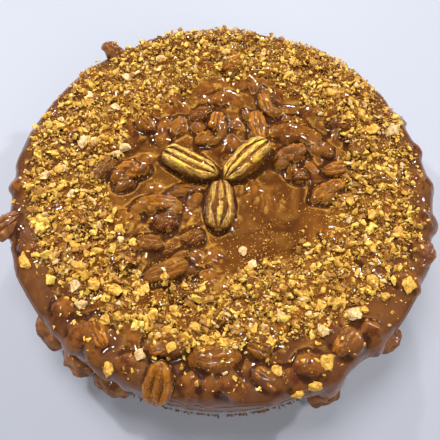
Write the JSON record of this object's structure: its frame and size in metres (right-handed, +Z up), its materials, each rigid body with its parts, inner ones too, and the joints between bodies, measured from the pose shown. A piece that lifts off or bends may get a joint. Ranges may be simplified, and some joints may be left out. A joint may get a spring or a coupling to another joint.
{
  "type": "pecan pie",
  "caption": "Tall round pecan pie with a crumb base, glossy caramel top set with pecans, gilded halves at its centre and a clear collar round its side.",
  "frame": {"origin": "centre of the flat underside, on the surface the pie stands on", "axes": "+Z up through the middle of the pie; -Y is the front, towards the viewer; +X to the viewer's right"},
  "size_m": [0.2397, 0.2348, 0.0671],
  "materials": {
    "crust": "dry, crumbly baked biscuit base",
    "filling": "smooth pinkish-brown set filling",
    "collar": "clear cake film, glossy",
    "caramel": "thick glossy caramel with a golden shimmer",
    "gilded_pecan": "pecan halves brushed with gold dust",
    "glazed_pecan": "glazed pecan, wet gloss",
    "rim_pecan": "pecan under a coat of caramel",
    "nut_chunk": "chopped nut, gold-dusted, some left plain cream"
  },
  "bodies": {
    "root": {"caramel": "caramel", "collar": "collar", "crust": "crust", "filling": "filling", "gilded_pecan_1": "gilded_pecan", "gilded_pecan_2": "gilded_pecan", "gilded_pecan_3": "gilded_pecan", "glazed_pecan_1": "glazed_pecan", "glazed_pecan_10": "glazed_pecan", "glazed_pecan_11": "glazed_pecan", "glazed_pecan_12": "glazed_pecan", "glazed_pecan_13": "glazed_pecan", "glazed_pecan_14": "glazed_pecan", "glazed_pecan_15": "glazed_pecan", "glazed_pecan_16": "glazed_pecan", "glazed_pecan_17": "glazed_pecan", "glazed_pecan_18": "glazed_pecan", "glazed_pecan_19": "glazed_pecan", "glazed_pecan_2": "glazed_pecan", "glazed_pecan_20": "glazed_pecan", "glazed_pecan_21": "glazed_pecan", "glazed_pecan_22": "glazed_pecan", "glazed_pecan_23": "glazed_pecan", "glazed_pecan_24": "glazed_pecan", "glazed_pecan_25": "glazed_pecan", "glazed_pecan_26": "glazed_pecan", "glazed_pecan_27": "glazed_pecan", "glazed_pecan_28": "glazed_pecan", "glazed_pecan_29": "glazed_pecan", "glazed_pecan_3": "glazed_pecan", "glazed_pecan_30": "glazed_pecan", "glazed_pecan_31": "glazed_pecan", "glazed_pecan_32": "glazed_pecan", "glazed_pecan_33": "glazed_pecan", "glazed_pecan_34": "glazed_pecan", "glazed_pecan_35": "glazed_pecan", "glazed_pecan_36": "glazed_pecan", "glazed_pecan_4": "glazed_pecan", "glazed_pecan_5": "glazed_pecan", "glazed_pecan_6": "glazed_pecan", "glazed_pecan_7": "glazed_pecan", "glazed_pecan_8": "glazed_pecan", "glazed_pecan_9": "glazed_pecan", "nut_chunk_1": "nut_chunk", "nut_chunk_2": "nut_chunk", "nut_chunk_3": "nut_chunk", "nut_chunk_4": "nut_chunk", "nut_chunk_5": "nut_chunk", "nut_chunk_6": "nut_chunk", "nut_chunk_7": "nut_chunk", "nut_chunk_8": "nut_chunk", "rim_pecan_1": "rim_pecan", "rim_pecan_2": "rim_pecan", "rim_pecan_3": "rim_pecan", "rim_pecan_4": "rim_pecan", "rim_pecan_5": "rim_pecan", "rim_pecan_6": "rim_pecan", "rim_pecan_7": "rim_pecan", "rim_pecan_8": "rim_pecan", "rim_pecan_9": "rim_pecan"}
  },
  "joints": []
}
